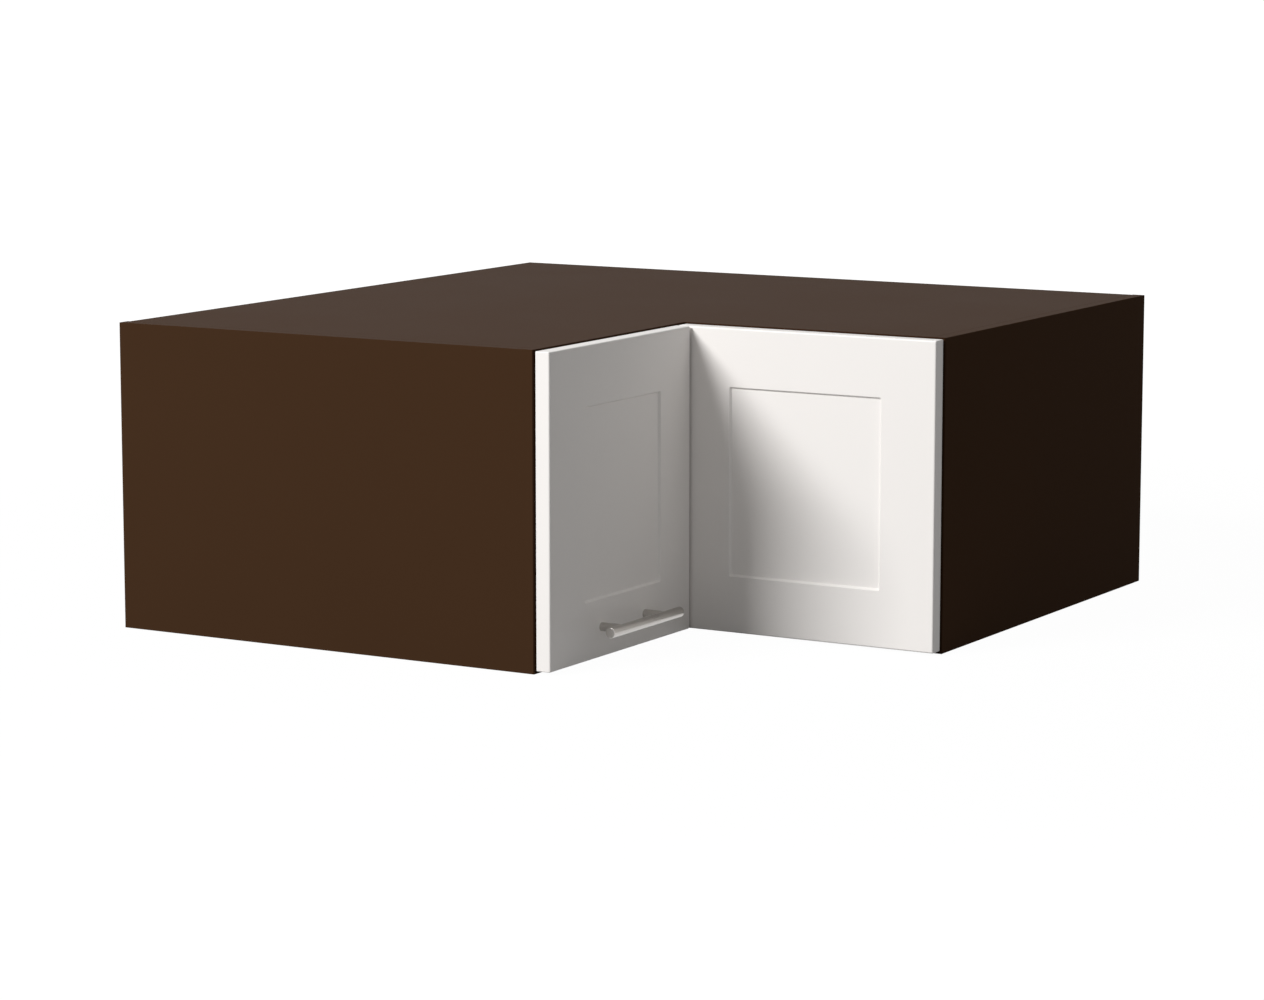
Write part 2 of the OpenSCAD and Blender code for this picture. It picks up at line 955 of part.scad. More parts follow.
// A plate on the left door's back, with an arm that reaches the folding pin
module fold_hinge_arms() {
    color([0.72, 0.73, 0.74])
        difference() {
            on_fold_hinges() {
                box_from([left_x0 - fold_plate_t, fold_plate_y0, -fold_plate_h / 2],
                    [left_x0, fold_plate_y1, fold_plate_h / 2]);
                box_from([fold_axis[0] - knuckle_r, fold_plate_y0 + fold_arm_set, -fold_arm_h / 2],
                    [fold_axis[0] + knuckle_r, fold_axis[1], fold_arm_h / 2]);
                box_from([fold_axis[0], fold_plate_y0 + fold_arm_set, -fold_arm_h / 2],
                    [left_x0, fold_plate_y1, fold_arm_h / 2]);
                at(fold_axis)
                    rod_z(knuckle_r, -fold_arm_h / 2, fold_arm_h / 2);
            }
            on_fold_hinges()
                at(fold_axis)
                    rod_z(fold_pin_r + running, -fold_arm_h, fold_arm_h);
            fold_arm_screw_bores();
        }
}

module fold_arm_screws() {
    color([0.8, 0.8, 0.8])
        on_fold_hinges()
            for (y = fold_screw_ys)
                for (z = [-fold_screw_up, fold_screw_up])
                    translate([left_x0 - fold_plate_t, y, z]) {
                        rod_x(fold_screw_d / 2, 0, fold_screw_l);
                        rod_x(fold_screw_d * 0.9, -fold_screw_head, 0);
                    }
}

// The right door's frame: X into the door from its back, Y along its width
module on_fold_cups() {
    on_fold_hinges()
        translate([fold_cup_x, right_y1, 0])
            rotate([0, 0, -90])
                children();
}

module right_door() {
    color([0.93, 0.92, 0.91])
        difference() {
            translate([right_x0, right_y1, door_z0])
                rotate([0, 0, -90])
                    door_solid(right_x1 - right_x0, frame_w);
            on_fold_cups() {
                rod_x(cup_d / 2, -cut, fold_depth);
                wing_screw_bores(fold_wing_t, cup_screw_l);
            }
        }
}

// A cup in the right door's back, with two ears that hold the folding pin
module fold_hinge_cups() {
    ear_end = cup_d / 2;
    mouth = fold_arm_h / 2;
    color([0.74, 0.75, 0.76])
        difference() {
            union() {
                on_fold_cups() {
                    rod_x(cup_d / 2, 0, fold_depth);
                    cup_wings(fold_wing_t);
                    box_from([-fold_wing_t, -ear_end, -fold_ear_out], [0, ear_end, fold_ear_out]);
                }
                on_fold_hinges()
                    for (side = [-1, 1])
                        translate([0, 0, side * (fold_ear_in + fold_ear_out) / 2]) {
                            box_from([fold_axis[0], fold_axis[1] - knuckle_r, -fold_ear_t / 2],
                                [fold_cup_x + ear_end, fold_axis[1] + knuckle_r, fold_ear_t / 2]);
                            at(fold_axis)
                                rod_z(knuckle_r, -fold_ear_t / 2, fold_ear_t / 2);
                        }
            }
            on_fold_cups() {
                wing_screw_bores(fold_wing_t, cup_screw_l);
                box_from([-fold_wing_t - cut, -ear_end + cup_wall * 2, -mouth],
                    [fold_depth - cup_wall, ear_end - cup_wall * 2, mouth]);
            }
            on_fold_hinges()
                at(fold_axis)
                    rod_z(fold_pin_r, -fold_ear_out - cut, fold_ear_out + cut);
        }
}

module fold_hinge_pins() {
    color([0.6, 0.6, 0.62])
        on_fold_hinges()
            at(fold_axis)
                rod_z(fold_pin_r, -fold_ear_out, fold_ear_out);
}

module fold_cup_screws() {
    color([0.8, 0.8, 0.8])
        on_fold_cups()
            wing_screws(fold_wing_t, cup_screw_l);
}

module door_bumpers() {
    color([0.85, 0.86, 0.87])
        for (z = [door_z0 + bumper_up, door_z1 - bumper_up])
            translate([bumper_x, right_y1, z])
                rod_y(bumper_d / 2, 0, bumper_t);
}

left_side_panel();
right_side_panel();
top_panel();
bottom_panel();
left_back_panel();
right_back_panel();
corner_post();
side_edge_bands();
left_edge_bands();
right_edge_bands();
cam_locks();
cam_bolts();
dowels();
back_nails();
hanger_housings();
hanger_hooks();
hanger_screws();
hanger_adjusters();
hinge_plates();
hinge_plate_screws();
hinge_arms();
hinge_arm_screws();
hinge_arm_pins();
hinge_outer_links();
hinge_elbow_pins();
hinge_inner_links();
left_door();
hinge_cups();
hinge_cup_pins();
hinge_cup_screws();
handle_bar();
handle_posts();
handle_screws();
fold_hinge_arms();
fold_arm_screws();
right_door();
fold_hinge_cups();
fold_hinge_pins();
fold_cup_screws();
door_bumpers();
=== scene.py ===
"""Dresses the corner wall cabinet: dark carcass, white milled doors, bar handle and fittings."""
import math
from functools import cache

import bmesh
import bpy
from bpy.props import FloatProperty, FloatVectorProperty, IntProperty, PointerProperty
from bpy.types import Operator, Panel, PropertyGroup
from mathutils import Matrix, Vector


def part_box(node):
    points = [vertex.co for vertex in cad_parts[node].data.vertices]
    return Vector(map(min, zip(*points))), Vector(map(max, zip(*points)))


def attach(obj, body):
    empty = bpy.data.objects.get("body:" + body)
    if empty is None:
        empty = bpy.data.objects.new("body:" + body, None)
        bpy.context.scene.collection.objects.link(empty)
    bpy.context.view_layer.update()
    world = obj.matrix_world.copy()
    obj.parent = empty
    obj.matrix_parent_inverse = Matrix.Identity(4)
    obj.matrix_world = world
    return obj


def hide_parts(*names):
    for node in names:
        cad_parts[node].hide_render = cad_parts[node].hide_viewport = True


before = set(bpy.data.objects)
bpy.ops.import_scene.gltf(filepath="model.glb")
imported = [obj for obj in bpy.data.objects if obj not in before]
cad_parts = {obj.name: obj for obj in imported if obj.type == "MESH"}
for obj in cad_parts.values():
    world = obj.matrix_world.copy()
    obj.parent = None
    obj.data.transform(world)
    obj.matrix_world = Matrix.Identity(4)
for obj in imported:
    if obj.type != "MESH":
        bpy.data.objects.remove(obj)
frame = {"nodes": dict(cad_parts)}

bl_info = {
    "name": "Corner wall cabinet",
    "version": (1, 0, 0),
    "blender": (4, 5, 0),
    "location": "3D View > Sidebar > Cabinet",
    "description": "Builds the boards, doors, handle and fittings of a corner wall cabinet",
    "category": "Object",
}

MM = 0.001
CUP_RADIUS = 17.5 * MM
LOOSE = 0.1 * MM
# Corners of a CAD mesh that are nearer than this are one
WELD = 0.002 * MM
# Only board edges longer than this are eased
LONG = 12 * MM
# Edges that turn by more degrees than this stay sharp
SHARP = 35
# How closely a face's normal follows a direction that it looks in
ALIGNED = 0.99
# Corners round large, middling, small and tiny round forms
LARGE, MIDDLE, SMALL, TINY = 48, 32, 20, 12
# Steps round a door's corner
CORNER_STEPS = 4
# How far out the posts end in the handle's bar, as a share of its radius
SUNK = 0.5
# The photograph's camera: its place in metres, its turns in degrees, its focal length in pixels
CAMERA_AT = (2.3561, -4.0557, 0.8397)
CAMERA_DOWN = 8.64
CAMERA_LEFT = 30.407
FOCAL_PIXELS = 3920.3
PHOTO_PIXELS = 1264
SENSOR_WIDTH = 36
# The way that the key light shines, and the point in the cabinet that it is aimed at
KEY_WAY = (0.495, 1.0, -0.718)
KEY_AIM = (0.1, -0.2, 0.18)
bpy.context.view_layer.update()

# Nodes


class Value:
    """A socket of a node tree, which Python's own operators can work on."""

    def __init__(self, nodes, socket):
        self.nodes = nodes
        self.socket = socket

    def maths(self, operation, *others):
        inputs = dict(enumerate((self, *others)))
        return self.nodes.node("ShaderNodeMath", {"operation": operation}, inputs)

    def __add__(self, other):
        return self.maths("ADD", other)

    __radd__ = __add__

    def __sub__(self, other):
        return self.maths("SUBTRACT", other)

    def __rsub__(self, other):
        return self.maths("MULTIPLY_ADD", -1.0, other)

    def __mul__(self, other):
        return self.maths("MULTIPLY", other)

    __rmul__ = __mul__

    def band(self, low, high, out_low=0.0, out_high=1.0):
        """Smoothly maps low..high to out_low..out_high."""
        inputs = {"Value": self, "From Min": low, "From Max": high,
                  "To Min": out_low, "To Max": out_high}
        return self.nodes.node(
            "ShaderNodeMapRange", {"interpolation_type": "SMOOTHSTEP"}, inputs)


class Nodes:
    """A node tree under construction."""

    def __init__(self, tree):
        self.tree = tree

    def node(self, kind, settings=None, inputs=None, output=0):
        """Adds a node, sets it up, feeds its sockets and returns one of its outputs."""
        made = self.tree.nodes.new(kind)
        for key, value in (settings or {}).items():
            setattr(made, key, value)
        for key, value in (inputs or {}).items():
            self.feed(made.inputs[key], value)
        return Value(self, made.outputs[output])

    def feed(self, socket, value):
        """Links a socket to a value, or to each in a list, or sets it to a constant."""
        if isinstance(value, list):
            for each in value:
                self.feed(socket, each)
        elif isinstance(value, Value):
            self.tree.links.new(value.socket, socket)
        else:
            socket.default_value = value

    def plain_rays(self):
        """1 for rays from the camera and off or through glossy surfaces, else 0."""
        seen = self.node("ShaderNodeLightPath", output="Is Camera Ray")
        rays = seen.socket.node.outputs
        for name in ("Is Glossy Ray", "Is Transmission Ray"):
            seen = seen.maths("MAXIMUM", Value(self, rays[name]))
        return seen


class Finish(Nodes):
    """A material under construction: its nodes and its principled shader."""

    def __init__(self, name, **constants):
        self.material = bpy.data.materials.new(name)
        self.material.use_nodes = True
        super().__init__(self.material.node_tree)
        self.shader = self.tree.nodes["Principled BSDF"]
        self.drive(**constants)

    def drive(self, **values):
        for socket, value in values.items():
            self.feed(self.shader.inputs[socket.replace("_", " ")], value)
        return self.material

    def place(self, scale=(1, 1, 1), shift=(0, 0, 0)):
        """Object coordinates, scaled and shifted."""
        source = self.node("ShaderNodeTexCoord", output="Object")
        inputs = {"Vector": source, "Scale": scale, "Location": shift}
        return self.node("ShaderNodeMapping", None, inputs)

    def reach(self, where):
        """The distance of a place from the middle."""
        return self.node("ShaderNodeVectorMath", {"operation": "LENGTH"}, {0: where}, "Value")

    def noise(self, where, scale, detail=2.0, roughness=0.5, distortion=0.0):
        inputs = {"Vector": where, "Scale": scale, "Detail": detail,
                  "Roughness": roughness, "Distortion": distortion}
        return self.node("ShaderNodeTexNoise", None, inputs)

    def cells(self, where, scale, feature="F1", output="Distance"):
        inputs = {"Vector": where, "Scale": scale}
        return self.node("ShaderNodeTexVoronoi", {"feature": feature}, inputs, output)

    def mix(self, factor, a, b):
        """Mixes two colours, each a tuple or a Value."""
        inputs = {0: factor, 6: full(a), 7: full(b)}
        return self.node("ShaderNodeMix", {"data_type": "RGBA"}, inputs, 2)

    def bump(self, height, depth, strength=1.0):
        """A bump whose height of 1 stands for depth, in metres."""
        inputs = {"Height": height, "Distance": depth, "Strength": strength}
        return self.node("ShaderNodeBump", None, inputs)


def full(colour):
    return colour if isinstance(colour, Value) else (*colour[:3], 1)


def shade(colour, factor):
    return tuple(min(1, c * factor) for c in colour[:3])


# Finishes


def melamine_finish(name, colour, roughness):
    """Dark melamine: an even brown with a fine pearl grain that only shows close up."""
    finish = Finish(name, Specular_IOR_Level=0.0015)
    where = finish.place()
    cloud = finish.noise(where, 5, 3)
    grain = finish.noise(where, 1400, 2, 0.6)
    pores = finish.cells(where, 900)
    tone = finish.mix(cloud, shade(colour, 0.94), shade(colour, 1.06))
    tone = finish.mix(grain.band(0.3, 0.7, 0, 0.5), tone, shade(colour, 1.16))
    height = grain * 0.6 + pores * 0.4
    return finish.drive(
        Base_Color=tone,
        Roughness=cloud * 0.05 + grain * 0.06 + (roughness - 0.055),
        Normal=finish.bump(height, 0.00003, 0.5),
    )


def chipboard_finish(name, colour):
    """A cut chipboard edge: pale and dark chips pressed flat, denser at both faces."""
    finish = Finish(name, Specular_IOR_Level=0.2)
    where = finish.place()
    chips = finish.cells(where, 420, output="Color")
    chip_tone = finish.node("ShaderNodeSeparateColor", None, {"Color": chips})
    gaps = finish.cells(where, 420, "DISTANCE_TO_EDGE")
    dust = finish.noise(where, 1500, 3)
    tone = finish.mix(chip_tone, shade(colour, 0.72), shade(colour, 1.25))
    tone = finish.mix(dust.band(0.55, 0.75, 0, 0.5), tone, shade(colour, 0.5))
    tone = finish.mix(gaps.band(0.0, 0.12, 0.6, 0.0), tone, shade(colour, 0.4))
    return finish.drive(
        Base_Color=tone,
        Roughness=dust * 0.15 + 0.75,
        Normal=finish.bump(gaps.band(0, 0.2) + dust * 0.5, 0.00025, 0.8),
    )


def hardboard_finish(name, colour):
    """The raw face of hardboard: matted fibres over soft mottling."""
    finish = Finish(name, Specular_IOR_Level=0.15)
    where = finish.place()
    mottle = finish.noise(where, 22, 4, 0.6)
    fibres = finish.noise(finish.place((1, 1, 3.5)), 620, 4, 0.65, 1.2)
    flecks = finish.cells(where, 380)
    tone = finish.mix(mottle, shade(colour, 0.82), shade(colour, 1.15))
    tone = finish.mix(fibres.band(0.35, 0.7, 0, 0.55), tone, shade(colour, 0.7))
    tone = finish.mix(flecks.band(0.05, 0.16, 0.35, 0), tone, shade(colour, 0.45))
    return finish.drive(
        Base_Color=tone,
        Roughness=fibres * 0.15 + 0.68,
        Normal=finish.bump(fibres, 0.00012, 0.6),
    )


def wood_finish(name, colour, heart):
    """Bare softwood: yearly rings about a heart line, with fibres along the grain."""
    finish = Finish(name, Specular_IOR_Level=0.25)
    where = finish.place((1, 1, 0.05), shift=heart)
    waver = finish.noise(where, 9, 2)
    rings = finish.reach(finish.place((1, 1, 0), shift=heart)) * 330 + waver * 3
    late = rings.maths("FRACT").band(0.45, 0.95)
    fibres = finish.noise(finish.place((1, 1, 0.02)), 900, 3)
    tone = finish.mix(late, shade(colour, 1.1), shade(colour, 0.62))
    tone = finish.mix(fibres.band(0.4, 0.7, 0, 0.4), tone, shade(colour, 0.75))
    return finish.drive(
        Base_Color=tone,
        Roughness=fibres * 0.15 + 0.55,
        Normal=finish.bump(fibres + late * 0.4, 0.00012, 0.6),
    )


def lacquer_finish(name, colour, roughness):
    """Sprayed satin lacquer: a faint orange peel and a soft film of its own."""
    finish = Finish(name, Specular_IOR_Level=0.2, Coat_Weight=0.05, Coat_Roughness=0.25)
    where = finish.place()
    cloud = finish.noise(where, 3, 2)
    peel = finish.noise(where, 420, 1.5)
    dust = finish.noise(where, 2600, 1)
    return finish.drive(
        Base_Color=finish.mix(cloud, shade(colour, 0.992), shade(colour, 1.008)),
        Roughness=cloud * 0.05 + dust * 0.04 + (roughness - 0.045),
        Normal=finish.bump(peel, 0.000012, 0.35),
    )


def metal_finish(name, colour, roughness, stretch):
    """Metal with lines brushed or rolled along the axis where stretch is small."""
    finish = Finish(name)
    streaks = finish.noise(finish.place(stretch), 900, 3, 0.6)
    haze = finish.noise(finish.place(), 14, 3)
    return finish.drive(
        Base_Color=finish.mix(streaks, shade(colour, 0.88), shade(colour, 1.12)),
        Metallic=1.0,
        Roughness=streaks * 0.14 + haze * 0.1 + (roughness - 0.12),
        Normal=finish.bump(streaks, 0.000006, 0.5),
    )


def casting_finish(name, colour):
    """Tumbled zinc casting: dull, slightly pitted."""
    finish = Finish(name)
    where = finish.place()
    pits = finish.cells(where, 1500)
    haze = finish.noise(where, 160, 3)
    return finish.drive(
        Base_Color=finish.mix(haze, shade(colour, 0.8), shade(colour, 1.12)),
        Metallic=0.9,
        Roughness=haze * 0.2 + 0.4,
        Normal=finish.bump(pits, 0.00004, 0.6),
    )


def plastic_finish(name, colour, roughness):
    """Moulded plastic with a fine spark-eroded grain."""
    finish = Finish(name, Specular_IOR_Level=0.4)
    where = finish.place()
    texture = finish.noise(where, 1300, 2)
    cloud = finish.noise(where, 30, 2)
    return finish.drive(
        Base_Color=finish.mix(cloud, shade(colour, 0.97), shade(colour, 1.03)),
        Roughness=texture * 0.1 + (roughness - 0.05),
        Normal=finish.bump(texture, 0.00002, 0.5),
    )


# Mesh helpers


def settle(piece):
    """Turns a piece and its modifiers into one plain mesh."""
    graph = bpy.context.evaluated_depsgraph_get()
    mesh = bpy.data.meshes.new_from_object(piece.evaluated_get(graph))
    piece.modifiers.clear()
    raw = piece.data
    piece.data = mesh
    bpy.data.meshes.remove(raw)
    mesh.name = piece.name
    return piece


def linked(name, data):
    """Puts a mesh, lamp or camera into the scene as an object."""
    made = bpy.data.objects.new(name, data)
    bpy.context.scene.collection.objects.link(made)
    return made


def new_piece(name, form, materials, sharp=SHARP, weighted=True, turn_out=False):
    """Makes an object of a bmesh, smooth but for its sharp edges."""
    mesh = bpy.data.meshes.new(name)
    if turn_out:
        bmesh.ops.recalc_face_normals(form, faces=form.faces)
    form.normal_update()
    form.to_mesh(mesh)
    form.free()
    for material in materials:
        mesh.materials.append(material)
    mesh.shade_smooth()
    mesh.set_sharp_from_angle(angle=math.radians(sharp))
    piece = linked(name, mesh)
    if weighted:
        modifier = piece.modifiers.new("Flat faces", "WEIGHTED_NORMAL")
        modifier.keep_sharp = True
        settle(piece)
    return piece


def give(piece, body, node):
    """Lets a finished piece ride on its body and stand for its CAD node."""
    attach(piece, body)
    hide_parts(node)


def dress(node, material):
    """Gives a CAD node that stays its own material."""
    slots = frame["nodes"][node].data.materials
    slots.clear()
    slots.append(material)


def welded(node):
    """A copy of a CAD node's mesh, with its corners joined."""
    form = bmesh.new()
    form.from_mesh(frame["nodes"][node].data)
    bmesh.ops.remove_doubles(form, verts=form.verts, dist=WELD)
    return form


def merged(node):
    """A welded copy of a CAD node, with its flat faces whole."""
    form = welded(node)
    for face in form.faces:
        face.material_index = 0
    bmesh.ops.dissolve_limit(
        form, angle_limit=math.radians(1), verts=form.verts, edges=form.edges)
    return form


def solids(node):
    """The lowest and highest corner of each separate solid in a CAD node."""
    form = welded(node)
    left, found = set(form.verts), []
    while left:
        start = left.pop()
        group, front = {start}, [start]
        while front:
            vert = front.pop()
            for link in vert.link_edges:
                other = link.other_vert(vert)
                if other not in group:
                    group.add(other)
                    front.append(other)
        left -= group
        corners = [[f(v.co[i] for v in group) for i in range(3)] for f in (min, max)]
        found.append((Vector(corners[0]), Vector(corners[1])))
    form.free()
    return sorted(found, key=lambda pair: tuple(round(c, 5) for c in pair[0]))


def mark(form, way, least):
    """Gives the second material to the faces that look a way and are larger than least."""
    for face in form.faces:
        if face.normal.dot(Vector(way)) > ALIGNED and face.calc_area() > least:
            face.material_index = 1


def ease_edges(form, width, least=LONG, segments=2):
    """Rounds the sharp outer edges that are longer than least."""
    edges = [
        e for e in form.edges
        if len(e.link_faces) == 2 and e.is_convex and e.calc_length() > least
        and e.calc_face_angle(0) > math.radians(40)
    ]
    bmesh.ops.bevel(
        form, geom=edges, offset=width, segments=segments, profile=0.5, affect="EDGES",
        clamp_overlap=False)


def turned(form, profile, origin, axis, segments=LARGE):
    """Adds a turned solid: profile lists (distance along the axis, radius)."""
    along = Vector(axis).normalized()
    side = along.orthogonal().normalized()
    other = along.cross(side)
    rings = []
    for reach, radius in profile:
        centre = Vector(origin) + along * reach
        if radius <= 0:
            rings.append([form.verts.new(centre)])
            continue
        ring = []
        for i in range(segments):
            turn = 2 * math.pi * i / segments
            ring.append(form.verts.new(
                centre + (side * math.cos(turn) + other * math.sin(turn)) * radius))
        rings.append(ring)
    for a, b in zip(rings, rings[1:]):
        for i in range(segments):
            j = (i + 1) % segments
            corners = [a[i % len(a)], a[j % len(a)], b[j % len(b)], b[i % len(b)]]
            unique = list(dict.fromkeys(corners))
            if len(unique) > 2:
                form.faces.new(unique)
    for ring in (rings[0][::-1], rings[-1]):
        if len(ring) > 1:
            form.faces.new(ring)
    return form


def arc(centre, radius, start, end, steps):
    """Points on an arc, from start to end degrees."""
    turns = [math.radians(start + (end - start) * i / steps) for i in range(steps + 1)]
    return [(centre[0] + radius * math.cos(turn), centre[1] + radius * math.sin(turn))
            for turn in turns]


def rounded_rectangle(low, high, radius):
    """The points of a rectangle with round corners, anticlockwise, in a plane."""
    points = []
    corners = [(high[0], low[1], -90), (high[0], high[1], 0),
               (low[0], high[1], 90), (low[0], low[1], 180)]
    for x, y, start in corners:
        centre = (x - radius if x == high[0] else x + radius,
                  y - radius if y == high[1] else y + radius)
        points += arc(centre, radius, start, start + 90, CORNER_STEPS)
    return points


# Geometry Nodes


class Tree(Nodes):
    """A Geometry Nodes tree under construction, with its sizes as values."""

    def __init__(self, name, *sizes):
        super().__init__(bpy.data.node_groups.new(name, "GeometryNodeTree"))
        sockets = {"Places": "Geometry", **dict.fromkeys(sizes, "Float"), "Finish": "Material"}
        for socket, kind in sockets.items():
            self.socket(socket, "INPUT", kind)
        self.socket("Pieces", "OUTPUT", "Geometry")
        given = self.tree.nodes.new("NodeGroupInput").outputs
        self.given = {socket: Value(self, given[socket]) for socket in sockets}
        self.sizes = [self.given[size] for size in sizes]

    def socket(self, name, way, kind):
        self.tree.interface.new_socket(name, in_out=way, socket_type="NodeSocket" + kind)

    def vector(self, x, y, z):
        return self.node("ShaderNodeCombineXYZ", None, {0: x, 1: y, 2: z})

    def lifted(self, form, height):
        return self.node("GeometryNodeTransform", None,
                         {"Geometry": form, "Translation": self.vector(0, 0, height)})

    def rod(self, corners, radius, length, middle, fill="NGON"):
        """An upright cylinder about the height middle."""
        form = self.node("GeometryNodeMeshCylinder", {"fill_type": fill},
                         {"Vertices": corners, "Radius": radius, "Depth": length}, "Mesh")
        return self.lifted(form, middle)

    def taper(self, corners, low_radius, top_radius, height, foot):
        """An upright cone without its tip, its foot at the height foot."""
        form = self.node("GeometryNodeMeshCone", {"fill_type": "NGON"},
                         {"Vertices": corners, "Radius Top": top_radius,
                          "Radius Bottom": low_radius, "Depth": height}, "Mesh")
        return self.lifted(form, foot)

    def boolean(self, operation, inputs):
        settings = {"operation": operation, "solver": "EXACT"}
        return self.node("GeometryNodeMeshBoolean", settings, inputs)

    def finish(self, seed, *forms):
        """Puts the forms at each place, along its facing, and closes the tree."""
        form = self.node("GeometryNodeJoinGeometry", None, {"Geometry": list(forms)})
        facing = self.node("GeometryNodeInputNamedAttribute",
                           {"data_type": "FLOAT_VECTOR"}, {"Name": "facing"})
        turn = self.node("FunctionNodeAlignRotationToVector", {"axis": "Z"},
                         {"Vector": facing})
        spin = self.node("FunctionNodeRandomValue", {"data_type": "FLOAT"},
                         {2: 0.0, 3: math.pi, "Seed": seed}, 1)
        spin = self.node("FunctionNodeAxisAngleToRotation", None,
                         {"Axis": (0, 0, 1), "Angle": spin})
        turn = self.node("FunctionNodeRotateRotation", {"rotation_space": "LOCAL"},
                         {"Rotation": turn, "Rotate By": spin})
        put = self.node("GeometryNodeInstanceOnPoints", None,
                        {"Points": self.given["Places"], "Instance": form, "Rotation": turn})
        real = self.node("GeometryNodeRealizeInstances", None, {"Geometry": put})
        dressed = self.node("GeometryNodeSetMaterial", None,
                            {"Geometry": real, "Material": self.given["Finish"]})
        result = self.tree.nodes.new("NodeGroupOutput")
        self.feed(result.inputs["Pieces"], dressed)
        return self.tree


def cross_cut(tree, form, width, reach, top, depth):
    """Cuts a crossed recess into the top of a form."""
    bars = [tree.node("GeometryNodeMeshCube", None, {"Size": tree.vector(*sides, depth * 2.0)})
            for sides in ((reach, width), (width, reach))]
    cross = tree.lifted(tree.boolean("UNION", {"Mesh 2": bars}), top)
    return tree.boolean("DIFFERENCE", {"Mesh 1": form, "Mesh 2": cross})


@cache
def screw_tree():
    """Pan-head screws with a crossed recess; the head stands on the place."""
    tree = Tree("Crosshead screws", "Head radius", "Head height", "Shank radius",
                "Shank length")
    radius, height, shank_radius, length = tree.sizes
    rim = height * 0.45
    skirt = tree.rod(MIDDLE, radius, rim, rim * 0.5)
    dome = tree.taper(MIDDLE, radius, radius * 0.68, height - rim, rim)
    head = tree.boolean("UNION", {"Mesh 2": [skirt, dome]})
    head = cross_cut(tree, head, radius * 0.28, radius * 1.15, height, height * 0.55)
    shank = tree.rod(SMALL, shank_radius, length, length * -0.5)
    return tree.finish(3, head, shank)


@cache
def cam_tree():
    """Cam discs with a crossed recess, their top face at the place."""
    tree = Tree("Cams", "Radius", "Thickness", "Bevel")
    radius, thickness, bevel = tree.sizes
    body = tree.rod(LARGE, radius, thickness - bevel, (thickness + bevel) * -0.5)
    rim = tree.taper(LARGE, radius, radius - bevel, bevel, bevel * -1.0)
    disc = tree.boolean("UNION", {"Mesh 2": [body, rim]})
    disc = cross_cut(tree, disc, radius * 0.2, radius * 1.1, 0.0, thickness * 0.22)
    return tree.finish(11, disc)


@cache
def pin_tree():
    """Pins with chamfered ends, the place at their lower end."""
    tree = Tree("Pins", "Radius", "Length", "Chamfer")
    radius, length, chamfer = tree.sizes
    small = radius - chamfer
    straight = tree.rod(MIDDLE, radius, length - chamfer * 2.0, length * 0.5, "NONE")
    low = tree.taper(MIDDLE, small, radius, chamfer, 0.0)
    high = tree.taper(MIDDLE, radius, small, chamfer, length - chamfer)
    return tree.finish(5, straight, low, high)


@cache
def nail_tree():
    """Flat-headed nails, their head's outer face at the place."""
    tree = Tree("Nails", "Head radius", "Head height", "Shank radius", "Length")
    radius, height, shank_radius, length = tree.sizes
    head = tree.taper(SMALL, radius, radius * 0.8, height, height * -1.0)
    bare = length - height
    shank = tree.rod(TINY, shank_radius, bare, (bare * 0.5 + height) * -1.0)
    return tree.finish(7, head, shank)


def repeat(name, maker, places, material, **sizes):
    """Repeats a tree's form at (point, direction) places, as one plain mesh."""
    mesh = bpy.data.meshes.new(name + "_places")
    mesh.from_pydata([tuple(point) for point, _ in places], [], [])
    facing = mesh.attributes.new("facing", "FLOAT_VECTOR", "POINT")
    facing.data.foreach_set("vector", [c for _, way in places for c in way])
    piece = linked(name, mesh)
    modifier = piece.modifiers.new(name, "NODES")
    modifier.node_group = maker()
    for item in modifier.node_group.interface.items_tree:
        key = item.name.replace(" ", "_")
        if item.in_out == "INPUT" and key in sizes:
            modifier[item.identifier] = float(sizes[key])
        elif item.name == "Finish":
            modifier[item.identifier] = material
    settle(piece)
    if not piece.data.polygons:
        raise RuntimeError(name + " came out empty")
    piece.data.shade_smooth()
    piece.data.set_sharp_from_angle(angle=math.radians(SHARP))
    return piece


def ends_of(node, axis, high):
    """The centre of one end of each solid in a node, along an axis."""
    places = []
    for low, top in solids(node):
        point = (low + top) / 2
        point[axis] = top[axis] if high else low[axis]
        places.append(point)
    return places


def level_heads(node, thick=0.0):
    """The undersides of level fasteners' heads, with the fasteners' length and head radius.

    A fastener that lies along X has its head at its low end, one along Y at its high end.
    """
    places = []
    for a, b in solids(node):
        centre, span = (a + b) / 2, b - a
        if span.x > span.y:
            places.append((Vector((a.x + thick, centre.y, centre.z)), (-1, 0, 0)))
        else:
            places.append((Vector((centre.x, b.y - thick, centre.z)), (0, 1, 0)))
    return places, max(span.x, span.y), span.z / 2


# Sizes and colours that a user would change


def length_property(name, description, default, least=0):
    return FloatProperty(name=name, description=description, default=default,
                         unit="LENGTH", precision=4, min=least)


def strength_property(name, description, default):
    return FloatProperty(name=name, description=description, default=default, min=0)


def colour_property(name, description, default):
    return FloatVectorProperty(name=name, description=description, default=default,
                               subtype="COLOR", size=3, min=0, max=1)


def share_property(name, description, default):
    return FloatProperty(name=name, description=description, default=default,
                         subtype="FACTOR", min=0, max=1)


